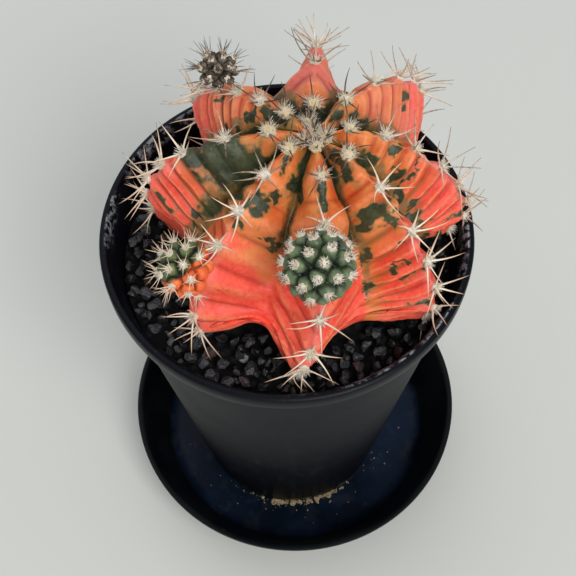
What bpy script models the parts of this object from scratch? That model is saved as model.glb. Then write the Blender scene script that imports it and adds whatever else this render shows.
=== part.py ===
"""Potted variegated chin cactus: a tall round nursery pot standing in its saucer, filled with soil
under a layer of gravel, with one eight-ribbed cactus, its offsets and its spine cushions.

Metres, +Z up, +Y away from the viewer. The origin is the middle of the saucer's underside.
"""

import math

import bmesh
import bpy
from mathutils import Vector

MM = 0.001
GAP = 0.3 * MM  # clearance between pieces that rest on each other
ROUND_STEPS = 48  # facets around each turned piece

# Saucer
SAUCER_RADIUS = 54.8 * MM
SAUCER_FLOOR_RADIUS = 43.7 * MM
SAUCER_HEIGHT = 21.5 * MM
SAUCER_WALL = 1.6 * MM
SAUCER_FLOOR = 2.0 * MM
SAUCER_LIP = 2.2 * MM

# Pot, set down a little off the saucer's centre
POT_X = -1.5 * MM
POT_Y = -1.6 * MM
POT_RADIUS = 50.0 * MM
POT_NECK_RADIUS = 47.8 * MM
POT_BASE_RADIUS = 30.0 * MM
POT_HEIGHT = 130.0 * MM
POT_WALL = 1.3 * MM
POT_LIP = 3.2 * MM
FOOT_HEIGHT = 3.0 * MM
FOOT_WIDTH = 3.5 * MM
DRAIN_RADIUS = 8.0 * MM

POT_BOTTOM = SAUCER_FLOOR + GAP
POT_FLOOR_TOP = POT_BOTTOM + FOOT_HEIGHT + POT_WALL
RIM_TOP = POT_BOTTOM + POT_HEIGHT

# Soil and gravel
GRAVEL_TOP = RIM_TOP - 9.5 * MM
GRAVEL_DEPTH = 13.0 * MM
GRAVEL_RELIEF = 0.8 * MM

# Cactus: each rib's crest is an ellipse from the growing point over the shoulder to the gravel
CACTUS_X = POT_X + 7.0 * MM
CACTUS_Y = POT_Y + 6.0 * MM
WAIST_Z = RIM_TOP - 2.0 * MM
DOME_HEIGHT = 38.0 * MM
CROWN_DIP = 3.0 * MM
CROWN_WIDTH = 5.0 * MM
RIB_DEPTH = 13.0 * MM
RIB_SHARPNESS = 1.5
NOTCH = 0.9 * MM  # how far the crest drops between two spine cushions
TUCK_START = 72.0  # degrees from the growing point to where the ribs begin to tuck in
LAST_ANGLE = 102.0  # degrees from the growing point to where the ribs meet the gravel
STEM_RADIUS = 11.0 * MM
ROOT_LENGTH = 46.0 * MM
HALF_RIB_STEPS = 4

# name: azimuth, reach, squareness of the crest (2 is an ellipse), how far the foot tucks in, and how
# far the rib swings sideways going down
RIBS = {
    "right": (2.0, 41.0 * MM, 1.8, 9.0 * MM, -9.0),
    "back_right": (45.0, 43.0 * MM, 2.2, 18.0 * MM, -2.0),
    "back": (88.0, 44.0 * MM, 2.2, 20.0 * MM, -1.0),
    "back_left": (145.0, 41.0 * MM, 2.5, 6.0 * MM, -12.0),
    "left": (184.0, 43.5 * MM, 2.4, 5.0 * MM, -10.0),
    "front_left": (223.0, 46.0 * MM, 1.7, 4.0 * MM, 7.0),
    "front": (278.0, 47.5 * MM, 1.75, 3.0 * MM, -16.0),
    "front_right": (318.0, 42.0 * MM, 1.9, 3.0 * MM, -2.0),
}

# Spine cushions sit every 12.75 degrees down each crest
FIRST_CUSHION = 13.0
CUSHION_STEP = 12.75
CUSHIONS = 7
CUSHION_RADIUS = 1.5 * MM
CUSHION_HEIGHT = 1.5 * MM
SPINE_LENGTH = 7.5 * MM
SPINE_RADIUS = 0.28 * MM
SPINE_TIP = 0.12  # of the spine's radius
SPINE_SPREADS = (50.0, 130.0, 230.0, 310.0)  # degrees around the cushion
SPINE_LEAN = 60.0  # degrees away from the crest's outward direction
SPINE_ROOM = 1.0 * MM  # what a spine leaves free before the wall, the gravel or an offset
SHORTEST_SPINE = 2.6 * MM
YOUNG_SPINES = {0: 0.4, 1: 0.8}  # share of the full length on the youngest cushions

# offset: rib, place on its crest counted in cushions, sideways shift, radius, height,
# tubercle rows and tubercles in a row
OFFSETS = {
    "offset_green": ("front", 2.6, -1.3 * MM, 8.9 * MM, 17.5 * MM, 4, 8),
    "offset_mottled": ("front_left", 3.5, -3.6 * MM, 7.4 * MM, 14.0 * MM, 4, 8),
    "offset_dried": ("back_left", 2.6, -2.5 * MM, 5.2 * MM, 13.0 * MM, 3, 6),
}
TUBERCLE = 0.8 * MM
OFFSET_GAP = 0.35 * MM
OFFSET_SINK = 4.0 * MM  # how deep the foot starts under the crest, before its seat is cut
BARE_CUSHIONS = {("back", 6), ("back_right", 6)}  # rubbed off where the ribs press against the pot


def clear_scene():
    for obj in list(bpy.data.objects):
        bpy.data.objects.remove(obj)


def collection(name):
    made = bpy.data.collections.new(name)
    bpy.context.scene.collection.children.link(made)
    return made


def material(name, colour, roughness, metallic=0.0):
    made = bpy.data.materials.new(name)
    made.use_nodes = True
    shader = made.node_tree.nodes["Principled BSDF"]
    shader.inputs["Base Color"].default_value = (*colour, 1.0)
    shader.inputs["Roughness"].default_value = roughness
    shader.inputs["Metallic"].default_value = metallic
    return made


def add_object(name, mesh, home, look):
    obj = bpy.data.objects.new(name, mesh)
    home.objects.link(obj)
    obj.data.materials.append(look)
    return obj


def turned(name, profile, home, look, centre=(0.0, 0.0)):
    """A solid of revolution. The profile runs from the axis, up the inside, down the outside and back."""
    mesh = bpy.data.meshes.new(name)
    edges = [(i, i + 1) for i in range(len(profile) - 1)]
    mesh.from_pydata([(radius, 0.0, z) for radius, z in profile], edges, [])
    obj = add_object(name, mesh, home, look)
    obj.location = (centre[0], centre[1], 0.0)
    screw = obj.modifiers.new("turn", "SCREW")
    screw.steps = ROUND_STEPS
    screw.render_steps = ROUND_STEPS
    screw.use_merge_vertices = True
    screw.merge_threshold = 0.00005
    return obj


def cylinder(name, radius, depth, location, home, steps=16):
    mesh = bpy.data.meshes.new(name)
    shape = bmesh.new()
    bmesh.ops.create_cone(shape, cap_ends=True, segments=steps, radius1=radius, radius2=radius, depth=depth)
    shape.to_mesh(mesh)
    shape.free()
    obj = hidden(name, mesh, home)
    obj.location = location
    return obj


def hidden(name, mesh, home):
    obj = bpy.data.objects.new(name, mesh)
    obj.hide_render = True
    obj.display_type = "WIRE"
    home.objects.link(obj)
    return obj


def cut(obj, cutter):
    made = obj.modifiers.new("cut", "BOOLEAN")
    made.operation = "DIFFERENCE"
    made.object = cutter


def join(obj, other):
    made = obj.modifiers.new("join", "BOOLEAN")
    made.operation = "UNION"
    made.object = other


def make_saucer(home, look):
    lip_z = SAUCER_HEIGHT
    profile = [
        (0.0, SAUCER_FLOOR),
        (SAUCER_FLOOR_RADIUS - 1.5 * MM, SAUCER_FLOOR),
        (SAUCER_FLOOR_RADIUS, SAUCER_FLOOR + 0.8 * MM),
        (SAUCER_RADIUS - SAUCER_LIP, lip_z - 0.5 * MM),
        (SAUCER_RADIUS - SAUCER_LIP + 0.6 * MM, lip_z),
        (SAUCER_RADIUS - 0.6 * MM, lip_z),
        (SAUCER_RADIUS, lip_z - 0.6 * MM),
        (SAUCER_RADIUS, lip_z - SAUCER_LIP),
        (SAUCER_RADIUS - SAUCER_LIP + SAUCER_WALL, lip_z - SAUCER_LIP),
        (SAUCER_FLOOR_RADIUS + SAUCER_WALL, 1.2 * MM),
        (SAUCER_FLOOR_RADIUS, 0.0),
        (0.0, 0.0),
    ]
    return turned("saucer", profile, home, look)


def pot_inner_radius(z):
    share = (z - POT_BOTTOM) / (POT_HEIGHT - POT_LIP)
    return POT_BASE_RADIUS + (POT_NECK_RADIUS - POT_BASE_RADIUS) * share - POT_WALL


def make_pot(home, helpers, look):
    lip_bottom = RIM_TOP - POT_LIP
    profile = [
        (0.0, POT_FLOOR_TOP),
        (pot_inner_radius(POT_FLOOR_TOP) - 1.0 * MM, POT_FLOOR_TOP),
        (pot_inner_radius(POT_FLOOR_TOP + 1.0 * MM), POT_FLOOR_TOP + 1.0 * MM),
        (pot_inner_radius(lip_bottom), lip_bottom),
        (POT_RADIUS - 2.4 * MM, RIM_TOP - 0.6 * MM),
        (POT_RADIUS - 1.8 * MM, RIM_TOP),
        (POT_RADIUS - 0.7 * MM, RIM_TOP),
        (POT_RADIUS, RIM_TOP - 0.8 * MM),
        (POT_RADIUS, lip_bottom + 0.4 * MM),
        (POT_RADIUS - 0.5 * MM, lip_bottom),
        (POT_NECK_RADIUS, lip_bottom),
        (POT_BASE_RADIUS + 0.1 * MM, POT_BOTTOM + 1.0 * MM),
        (POT_BASE_RADIUS - 0.8 * MM, POT_BOTTOM),
        (POT_BASE_RADIUS - FOOT_WIDTH, POT_BOTTOM),
        (POT_BASE_RADIUS - FOOT_WIDTH, POT_FLOOR_TOP - POT_WALL),
        (0.0, POT_FLOOR_TOP - POT_WALL),
    ]
    pot = turned("pot", profile, home, look, (POT_X, POT_Y))
    place = (POT_X, POT_Y, POT_FLOOR_TOP - 0.5 * POT_WALL)
    cut(pot, cylinder("drain", DRAIN_RADIUS, 6.0 * POT_WALL, place, helpers, 24))
    return pot


def make_soil(home, helpers, look):
    bottom = POT_FLOOR_TOP + GAP
    top = GRAVEL_TOP - GRAVEL_DEPTH - GAP
    profile = [
        (0.0, top),
        (pot_inner_radius(top) - GAP, top),
        (pot_inner_radius(bottom + 1.5 * MM) - GAP, bottom + 1.5 * MM),
        (pot_inner_radius(bottom) - 2.0 * MM, bottom),
        (0.0, bottom),
    ]
    soil = turned("soil_mix", profile, home, look, (POT_X, POT_Y))
    root_bottom = GRAVEL_TOP - ROOT_LENGTH
    depth = top - root_bottom + 4.0 * MM
    pocket = cylinder(
        "root_pocket",
        STEM_RADIUS * 0.86,
        depth,
        (CACTUS_X, CACTUS_Y, top + 2.0 * MM - 0.5 * depth),
        helpers,
        24,
    )
    cut(soil, pocket)
    return soil


def make_gravel(home, helpers, look):
    """The gravel layer, with an uneven top and a round opening for the cactus stem."""
    bottom = GRAVEL_TOP - GRAVEL_DEPTH
    relief = GRAVEL_RELIEF
    outer = pot_inner_radius(GRAVEL_TOP - 2.0 * relief) - GAP
    rings = [(0.0, GRAVEL_TOP - 2.0 * relief)]
    for index in range(1, 9):
        radius = outer * index / 8.0
        rings.append((radius, GRAVEL_TOP - relief * (1.6 + 0.4 * (-1) ** index)))
    profile = [*rings, (pot_inner_radius(bottom) - GAP, bottom), (0.0, bottom)]
    gravel = turned("gravel_topping", profile, home, look, (POT_X, POT_Y))
    hole = cylinder(
        "stem_hole",
        STEM_RADIUS + GAP,
        3.0 * GRAVEL_DEPTH,
        (CACTUS_X, CACTUS_Y, GRAVEL_TOP - 0.5 * GRAVEL_DEPTH),
        helpers,
        24,
    )
    cut(gravel, hole)
    return gravel


def smooth(share):
    share = min(1.0, max(0.0, share))
    return share * share * (3.0 - 2.0 * share)


def rib_azimuth(rib, angle):
    return math.radians(rib[0] + rib[4] * (angle / LAST_ANGLE) ** 1.5)


def notch(angle):
    """How far the crest drops at this angle: nothing at a spine cushion, most halfway between two."""
    phase = (angle - FIRST_CUSHION) / CUSHION_STEP
    return NOTCH * (0.5 - 0.5 * math.cos(2.0 * math.pi * phase)) * smooth(angle / FIRST_CUSHION)


def crest_point(rib, angle):
    """(distance from the cactus axis, height) of the rib's crest, at an angle in degrees from the top."""
    _, reach, squareness, tuck, _ = rib
    turn = math.radians(angle)
    out = (reach - notch(angle)) * abs(math.sin(turn)) ** (2.0 / squareness)
    out -= tuck * max(0.0, (angle - TUCK_START) / 30.0) ** 2
    rise = math.copysign(abs(math.cos(turn)) ** (2.0 / squareness), math.cos(turn))
    dip = CROWN_DIP * math.exp(-((out / CROWN_WIDTH) ** 2))
    return out, WAIST_Z + (DOME_HEIGHT - notch(angle)) * rise - dip


def crest_normal(rib, angle):
    """The crest's outward normal, as (away from the axis, up)."""
    before = Vector(crest_point(rib, angle - 0.5))
    after = Vector(crest_point(rib, angle + 0.5))
    along = (after - before).normalized()
    return Vector((-along.y, along.x))


def furrow_point(rib, angle):
    """The same for the furrow beside the rib, which lies inwards along the crest's normal."""
    out, up = crest_point(rib, angle)
    depth = (RIB_DEPTH - notch(angle)) * math.sin(math.radians(angle)) ** 0.6
    normal = crest_normal(rib, angle)
    return out - depth * normal.x, up - depth * normal.y


def skin_point(first, second, share, angle):
    """A point of the skin between two neighbouring ribs, share 0 on the first crest and 1 on the second."""
    near = first if share <= 0.5 else second
    across = min(share, 1.0 - share) * 2.0
    blend = (1.0 - across) ** RIB_SHARPNESS
    crest = Vector(crest_point(near, angle))
    furrow = 0.5 * (Vector(furrow_point(first, angle)) + Vector(furrow_point(second, angle)))
    out, up = furrow + (crest - furrow) * blend
    start = rib_azimuth(first, angle)
    end = rib_azimuth(second, angle)
    if end < start:
        end += 2.0 * math.pi
    azimuth = start + (end - start) * share
    return Vector((CACTUS_X + out * math.cos(azimuth), CACTUS_Y + out * math.sin(azimuth), up))


def body_rings():
    """The angles of the skin's rings: one at each spine cushion and one halfway to the next."""
    half = 0.5 * CUSHION_STEP
    count = 2 * CUSHIONS + 1
    return [FIRST_CUSHION - half, *[FIRST_CUSHION + half * index for index in range(count)]]


def stem_rings():
    """(share of the foot's outline, stem radius, height) of the rings below the ribs."""
    foot = GRAVEL_TOP + GAP
    return [
        (0.6, 0.0, foot),
        (0.0, STEM_RADIUS, foot - 0.5 * MM),
        (0.0, STEM_RADIUS * 0.95, GRAVEL_TOP - 0.8 * GRAVEL_DEPTH),
        (0.0, STEM_RADIUS * 0.72, GRAVEL_TOP - GRAVEL_DEPTH - 2.0 * MM),
        (0.0, STEM_RADIUS * 0.35, GRAVEL_TOP - 0.7 * ROOT_LENGTH),
    ]


def make_cactus(name, home, look, swell=0.0):
    """A UV sphere whose rings become the rings of the ribbed body, then those of the stem and taproot.

    With a swell, every point is moved outwards by that much, which gives the offsets their seats.
    """
    ribs = list(RIBS.values())
    per_rib = 2 * HALF_RIB_STEPS
    angles = body_rings()
    stem = stem_rings()
    columns = per_rib * len(ribs)
    rows = len(angles) + len(stem) + 1
    mesh = bpy.data.meshes.new(name)
    shape = bmesh.new()
    bmesh.ops.create_uvsphere(shape, u_segments=columns, v_segments=rows, radius=1.0)
    foot_z = GRAVEL_TOP + GAP
    for vertex in shape.verts:
        row = round(math.acos(max(-1.0, min(1.0, vertex.co.z))) / math.pi * rows)
        column = round(math.atan2(vertex.co.y, vertex.co.x) / (2.0 * math.pi) * columns) % columns
        if row == 0:
            crown = crest_point(ribs[0], 0.0)[1]
            vertex.co = (CACTUS_X, CACTUS_Y, crown - 1.0 * MM)
            continue
        if row == rows:
            vertex.co = (CACTUS_X, CACTUS_Y, GRAVEL_TOP - ROOT_LENGTH + 2.0 * MM)
            continue
        index, step = divmod(column, per_rib)
        first = ribs[index]
        second = ribs[(index + 1) % len(ribs)]
        share = step / per_rib
        if row <= len(angles):
            place = skin_point(first, second, share, angles[row - 1])
            place.z = max(place.z, foot_z + 0.15 * MM * (rows - row))
        else:
            outline, radius, height = stem[row - len(angles) - 1]
            edge = skin_point(first, second, share, angles[-1])
            flat = Vector((edge.x - CACTUS_X, edge.y - CACTUS_Y))
            flat = flat * outline + flat.normalized() * radius
            place = Vector((CACTUS_X + flat.x, CACTUS_Y + flat.y, height))
        vertex.co = place
    if swell:
        shape.normal_update()
        for vertex, normal in [(vertex, vertex.normal.copy()) for vertex in shape.verts]:
            vertex.co += normal * swell * 1.3
    shape.to_mesh(mesh)
    shape.free()
    return add_object(name, mesh, home, look)


def crest_frame(name, angle):
    """(point, outward direction, direction down the crest) on a rib's crest, in space."""
    rib = RIBS[name]
    out, up = crest_point(rib, angle)
    azimuth = rib_azimuth(rib, angle)
    away = Vector((math.cos(azimuth), math.sin(azimuth), 0.0))
    normal = crest_normal(rib, angle)
    point = Vector((CACTUS_X, CACTUS_Y, 0.0)) + away * out + Vector((0.0, 0.0, up))
    outward = away * normal.x + Vector((0.0, 0.0, normal.y))
    down = away * normal.y - Vector((0.0, 0.0, normal.x))
    return point, outward, down


def cone(name, base, tip, home):
    """A spine as a hidden body, from base to tip."""
    axis = tip - base
    turn = axis.to_track_quat("Z", "Y").to_matrix().to_4x4()
    turn.translation = base + 0.5 * axis
    mesh = bpy.data.meshes.new(name)
    shape = bmesh.new()
    bmesh.ops.create_cone(
        shape,
        cap_ends=True,
        segments=3,
        radius1=SPINE_RADIUS,
        radius2=SPINE_RADIUS * SPINE_TIP,
        depth=axis.length,
        matrix=turn,
    )
    shape.to_mesh(mesh)
    shape.free()
    return hidden(name, mesh, home)


def offset_frame(name):
    """(middle of the offset's foot, direction that it grows in) in space."""
    rib_name, number, shift = OFFSETS[name][:3]
    point, outward, down = crest_frame(rib_name, FIRST_CUSHION + CUSHION_STEP * number)
    side = outward.cross(down)
    tilt = (outward + side * (shift / (12.0 * MM))).normalized()
    return point + side * shift - tilt * OFFSET_SINK, tilt


def is_free(place):
    """Whether a spine's tip can be here: clear of the pot's wall and rim, the gravel and the offsets."""
    inside = math.hypot(place.x - POT_X, place.y - POT_Y)
    if place.z < RIM_TOP + SPINE_ROOM and inside > pot_inner_radius(place.z) - SPINE_ROOM:
        return False
    if place.z < GRAVEL_TOP + SPINE_ROOM:
        return False
    for name, (_, _, _, radius, height, _, _) in OFFSETS.items():
        foot, outward = offset_frame(name)
        if (place - foot - outward * 0.5 * height).length < radius + TUBERCLE + SPINE_ROOM:
            return False
    return True


def free_length(base, direction, length):
    while length > SHORTEST_SPINE and not is_free(base + direction * length):
        length -= 0.5 * MM
    return length


def make_cushion(name, rib_name, number, home, helpers, look):
    """A woolly spine cushion with its spines: a flattened ball, and cones joined to it."""
    point, outward, down = crest_frame(rib_name, FIRST_CUSHION + CUSHION_STEP * number)
    side = outward.cross(down)
    turn = outward.to_track_quat("Z", "Y").to_matrix()
    centre = point + outward * (GAP + 0.5 * CUSHION_HEIGHT)
    if not is_free(centre):
        return
    mesh = bpy.data.meshes.new(name)
    shape = bmesh.new()
    bmesh.ops.create_icosphere(shape, subdivisions=1, radius=1.0)
    size = Vector((CUSHION_RADIUS, CUSHION_RADIUS, 0.5 * CUSHION_HEIGHT))
    for vertex in shape.verts:
        vertex.co = centre + turn @ (vertex.co * size)
    shape.to_mesh(mesh)
    shape.free()
    cushion = add_object(name, mesh, home, look)
    lean = math.radians(SPINE_LEAN)
    full = SPINE_LENGTH * YOUNG_SPINES.get(number, 1.0)
    for index, spread in enumerate(SPINE_SPREADS):
        around = math.radians(spread)
        flat = down * math.cos(around) + side * math.sin(around)
        direction = outward * math.cos(lean) + flat * math.sin(lean)
        length = free_length(centre, direction, full)
        join(cushion, cone(f"{name}_spine_{index}", centre, centre + direction * length, helpers))


def make_offset(name, home, look):
    """A young plant on its mother's crest: a flattened ball on a narrow neck, knobbly with tubercles."""
    *_, radius, height, rows, around = OFFSETS[name]
    foot, outward = offset_frame(name)
    turn = outward.to_track_quat("Z", "Y").to_matrix()
    mesh = bpy.data.meshes.new(name)
    shape = bmesh.new()
    bmesh.ops.create_uvsphere(shape, u_segments=2 * around, v_segments=2 * rows, radius=1.0)
    for vertex in shape.verts:
        polar = math.acos(max(-1.0, min(1.0, vertex.co.z)))
        sweep = math.atan2(vertex.co.y, vertex.co.x)
        bump = TUBERCLE * math.cos(around * sweep) * math.cos(2.0 * rows * polar) * math.sin(polar) ** 2
        pinch = 1.0 - 0.55 * smooth((polar / math.pi - 0.6) / 0.4)
        wide = (radius * pinch + bump) * math.sin(polar)
        up = 0.5 * height * (1.0 + math.cos(polar))
        vertex.co = foot + turn @ Vector((wide * math.cos(sweep), wide * math.sin(sweep), up))
    shape.to_mesh(mesh)
    shape.free()
    return add_object(name, mesh, home, look)


def main():
    clear_scene()
    home = collection("potted_moon_cactus")
    helpers = collection("cutters")
    plastic = material("black_plastic", (0.022, 0.028, 0.036), 0.45)
    dark_tray = material("saucer_plastic", (0.012, 0.018, 0.03), 0.35)
    soil = material("soil_mix", (0.05, 0.035, 0.025), 0.95)
    gravel = material("black_gravel", (0.02, 0.02, 0.025), 0.8)
    skin = material("cactus_skin", (0.78, 0.17, 0.08), 0.45)
    green = material("green_skin", (0.07, 0.14, 0.07), 0.5)
    dried = material("dried_skin", (0.12, 0.1, 0.08), 0.9)
    wool = material("wool_and_spines", (0.75, 0.66, 0.55), 0.8)

    make_saucer(home, dark_tray)
    make_pot(home, helpers, plastic)
    make_soil(home, helpers, soil)
    make_gravel(home, helpers, gravel)
    make_cactus("cactus_body", home, skin)
    body_cutter = make_cactus("body_cutter", helpers, skin, OFFSET_GAP)
    body_cutter.hide_render = True
    body_cutter.display_type = "WIRE"
    for rib_name in RIBS:
        for number in range(CUSHIONS):
            if (rib_name, number) not in BARE_CUSHIONS:
                make_cushion(f"cushion_{rib_name}_{number + 1}", rib_name, number, home, helpers, wool)
    skins = {"offset_green": green, "offset_mottled": green, "offset_dried": dried}
    for name, offset_skin in skins.items():
        offset = make_offset(name, home, offset_skin)
        cut(offset, body_cutter)


main()
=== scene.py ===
import math
import random

import bpy
import numpy as np
from mathutils import Matrix, Vector, noise


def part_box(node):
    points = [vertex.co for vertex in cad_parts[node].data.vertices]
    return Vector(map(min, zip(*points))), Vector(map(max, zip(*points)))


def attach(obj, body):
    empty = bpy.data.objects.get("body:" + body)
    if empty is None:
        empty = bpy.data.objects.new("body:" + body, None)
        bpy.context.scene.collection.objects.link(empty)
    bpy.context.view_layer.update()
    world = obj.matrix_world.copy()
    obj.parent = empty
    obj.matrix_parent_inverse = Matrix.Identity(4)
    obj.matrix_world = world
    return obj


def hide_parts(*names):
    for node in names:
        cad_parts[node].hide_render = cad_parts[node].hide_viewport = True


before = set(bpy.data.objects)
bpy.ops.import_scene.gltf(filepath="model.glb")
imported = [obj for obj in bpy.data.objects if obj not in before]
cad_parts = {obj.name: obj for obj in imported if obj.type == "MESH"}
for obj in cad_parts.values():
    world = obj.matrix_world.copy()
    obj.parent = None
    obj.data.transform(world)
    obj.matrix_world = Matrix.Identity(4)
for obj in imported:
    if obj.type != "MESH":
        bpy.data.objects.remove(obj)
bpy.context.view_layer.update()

# ---- Saucer -------------------------------------------------------------------------------------
# A shallow round dish that catches the drained water, moulded in near-black polypropylene. The
# wall leans out to a thick rounded lip, and a low ring on the floor keeps the pot off the wet.
MM = 0.001


def turned(name, rings, centre, steps=144, hollow=False):
    """A round moulding drawn out of a circle ring by ring; (radius, height) in millimetres.

    A hollow one ends on the ring that it started from, and leaves a hole through its middle.
    """
    bpy.ops.object.select_all(action="DESELECT")
    radius, height = rings[0]
    place = (centre[0], centre[1], height * MM)
    fill = "NOTHING" if hollow else "NGON"
    bpy.ops.mesh.primitive_circle_add(vertices=steps, radius=radius * MM, fill_type=fill, location=place)
    piece = bpy.context.object
    piece.name = name
    bpy.ops.object.mode_set(mode="EDIT")
    bpy.ops.mesh.select_all(action="SELECT")
    bpy.ops.mesh.select_mode(type="EDGE")
    if not hollow:
        bpy.ops.mesh.region_to_loop()
    for next_radius, next_height in rings[1:]:
        rise = (next_height - height) * MM
        bpy.ops.mesh.extrude_edges_move(TRANSFORM_OT_translate={"value": (0.0, 0.0, rise)})
        grow = next_radius / radius
        bpy.ops.transform.resize(
            value=(grow, grow, 1.0), center_override=(centre[0], centre[1], next_height * MM)
        )
        radius, height = next_radius, next_height
    if hollow:
        bpy.ops.mesh.select_all(action="SELECT")
        bpy.ops.mesh.remove_doubles(threshold=0.00002)
    else:
        bpy.ops.mesh.edge_face_add()
    bpy.ops.mesh.select_all(action="SELECT")
    bpy.ops.mesh.normals_make_consistent(inside=False)
    bpy.ops.object.mode_set(mode="OBJECT")
    bpy.ops.object.transform_apply(location=True, rotation=True, scale=True)
    bpy.ops.object.shade_smooth_by_angle(angle=math.radians(35))
    return piece


def paint(red, green, blue):
    """A paint chip, 0 to 255 a channel, as the light that it reflects."""
    channels = [value / 255.0 for value in (red, green, blue)]
    return (*[c / 12.92 if c < 0.04045 else ((c + 0.055) / 1.055) ** 2.4 for c in channels], 1.0)


class Flow:
    """A value, colour or vector on its way through a material, written as plain sums."""

    def __init__(self, tree, socket=None):
        self.tree = tree
        self.socket = socket

    def node(self, kind, settings=None, values=None, out=0):
        """Adds a node: its settings first, then a value or another Flow for each socket named."""
        made = self.tree.nodes.new(kind)
        for name, value in (settings or {}).items():
            if name == "stops":
                ramp = made.color_ramp
                while len(ramp.elements) < len(value):
                    ramp.elements.new(0.5)
                for element, (place, colour) in zip(ramp.elements, value):
                    element.position = place
                    element.color = colour
            else:
                setattr(made, name, value)
        for name, value in (values or {}).items():
            if isinstance(value, Flow):
                self.tree.links.new(value.socket, made.inputs[name])
            else:
                made.inputs[name].default_value = value
        return Flow(self.tree, made.outputs[out])

    def sum(self, operation, *others):
        values = dict(enumerate((self, *others)))
        return self.node("ShaderNodeMath", {"operation": operation}, values)

    def __add__(self, other):
        return self.sum("ADD", other)

    __radd__ = __add__

    def __mul__(self, other):
        return self.sum("MULTIPLY", other)

    __rmul__ = __mul__

    def __sub__(self, other):
        return self.sum("SUBTRACT", other)

    def __rsub__(self, other):
        return self.node("ShaderNodeMath", {"operation": "SUBTRACT"}, {0: other, 1: self})

    def __pow__(self, other):
        return self.sum("POWER", other)

    def least(self, other):
        return self.sum("MINIMUM", other)

    def most(self, other):
        return self.sum("MAXIMUM", other)

    def edge(self, low, high):
        """0 below low, 1 above high, and a soft step between."""
        return self.node(
            "ShaderNodeMapRange",
            {"interpolation_type": "SMOOTHSTEP"},
            {"Value": self, "From Min": low, "From Max": high},
        )

    def mix(self, under, over):
        """under where this is 0 and over where it is 1."""
        return self.node("ShaderNodeMix", {"data_type": "RGBA"}, {0: self, 6: under, 7: over}, 2)

    def part(self, axis):
        return self.node("ShaderNodeSeparateXYZ", None, {0: self}, "XYZ".index(axis))

    def grain(self, size, detail=3.0, rough=0.55, out=0):
        """Cloudy noise with grains of about this many millimetres."""
        return self.node(
            "ShaderNodeTexNoise",
            None,
            {"Vector": self, "Scale": 1000.0 / size, "Detail": detail, "Roughness": rough},
            out,
        )

    def cells(self, size, feature="F1", out=0, jitter=1.0):
        """Cells of about this many millimetres."""
        return self.node(
            "ShaderNodeTexVoronoi",
            {"feature": feature},
            {"Vector": self, "Scale": 1000.0 / size, "Randomness": jitter},
            out,
        )


class Finish:
    """A material on one Principled shader: fixed values on its sockets, and flows into a few."""

    def __init__(self, name, **fixed):
        self.material = bpy.data.materials.new(name)
        self.material.use_nodes = True
        self.tree = self.material.node_tree
        self.shader = self.tree.nodes["Principled BSDF"]
        for socket, value in fixed.items():
            self.shader.inputs[socket.replace("_", " ")].default_value = value
        self.place = Flow(self.tree).node("ShaderNodeTexCoord", out=3)

    def mark(self, name):
        """A value painted on the piece's points."""
        return self.place.node("ShaderNodeAttribute", {"attribute_name": name}, out=2)

    def give(self, socket, flow):
        self.tree.links.new(flow.socket, self.shader.inputs[socket])

    def relief(self, height, depth, strength=1.0):
        """Bump of this many millimetres, on top of any bump that is already there."""
        values = {"Height": height, "Distance": depth * MM, "Strength": strength}
        if self.shader.inputs["Normal"].is_linked:
            below = self.shader.inputs["Normal"].links[0].from_socket
            values["Normal"] = Flow(self.tree, below)
        self.give("Normal", self.place.node("ShaderNodeBump", None, values))


def dress(piece, finish, slot, *nodes):
    """Gives a piece its finish and hangs it under the root; the CAD nodes that it stands for are hidden."""
    piece.data.materials.clear()
    piece.data.materials.append(finish.material)
    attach(piece, "root")
    if nodes:
        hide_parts(*nodes)


saucer = turned(
    "saucer_dish",
    [
        (2.0, 0.4), (36.0, 0.4), (37.0, 0.0), (42.8, 0.0), (44.0, 0.5), (45.3, 1.9), (46.2, 4.0),
        (50.0, 13.5), (52.3, 19.0), (53.0, 19.3), (54.3, 19.3), (54.8, 19.8), (54.8, 20.9),
        (54.4, 21.4), (53.5, 21.5), (52.9, 21.2), (52.5, 20.6), (48.6, 11.5), (45.4, 4.0), (44.4, 2.7),
        (43.2, 2.1), (41.5, 2.0), (30.6, 2.0), (30.2, 2.3), (29.2, 2.3), (28.8, 2.0), (2.0, 2.0),
    ],
    (0.0, 0.0),
)  # fmt: skip
saucer_finish = Finish("saucer_black_plastic", Specular_IOR_Level=0.1)
here = saucer_finish.place
dust = here.grain(0.8, 2.0).edge(0.7, 0.76) * here.grain(9.0, 3.0).edge(0.45, 0.65)
film = here.grain(24.0, 4.0, 0.6).edge(0.4, 0.7)
height = here.part("Z")
ring = height.edge(0.0, 0.0026) * (1.0 - height.edge(0.0026, 0.006)) * here.grain(5.0, 4.0).edge(0.5, 0.65)
flat = 1.0 - height.edge(0.0024, 0.0045)
# Painted light: the floor is painted lighter and bluer than the near-black wall of the same plastic.
wall_black = film.mix(paint(4, 7, 9), paint(10, 15, 17))
floor_painted_light = film.mix(paint(7, 16, 29), paint(14, 28, 48))
colour = flat.mix(wall_black, floor_painted_light)
colour = (dust * 0.35).mix(colour, paint(150, 150, 140))
saucer_finish.give("Base Color", (ring * 0.03).mix(colour, paint(120, 118, 105)))
saucer_finish.give("Roughness", film * 0.2 + dust * 0.2 + 0.34)
saucer_finish.relief(here.grain(0.5, 2.0), 0.03)
dress(saucer, saucer_finish, "saucer_plastic", "saucer")

# ---- Pot ----------------------------------------------------------------------------------------
# A tall round nursery pot, moulded thin in greenish black polypropylene with a matte skin. A band
# stiffens its rim, a foot ring lifts its floor, and one hole in the middle of the floor drains it.
pot_low, pot_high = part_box("pot")
pot_middle = ((pot_low[0] + pot_high[0]) / 2.0, (pot_low[1] + pot_high[1]) / 2.0)
rim = pot_high[2] / MM
foot = pot_low[2] / MM
FOOT_RADIUS = 30.0
NECK_RADIUS = 47.8
NECK_DROP = 3.2


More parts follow.
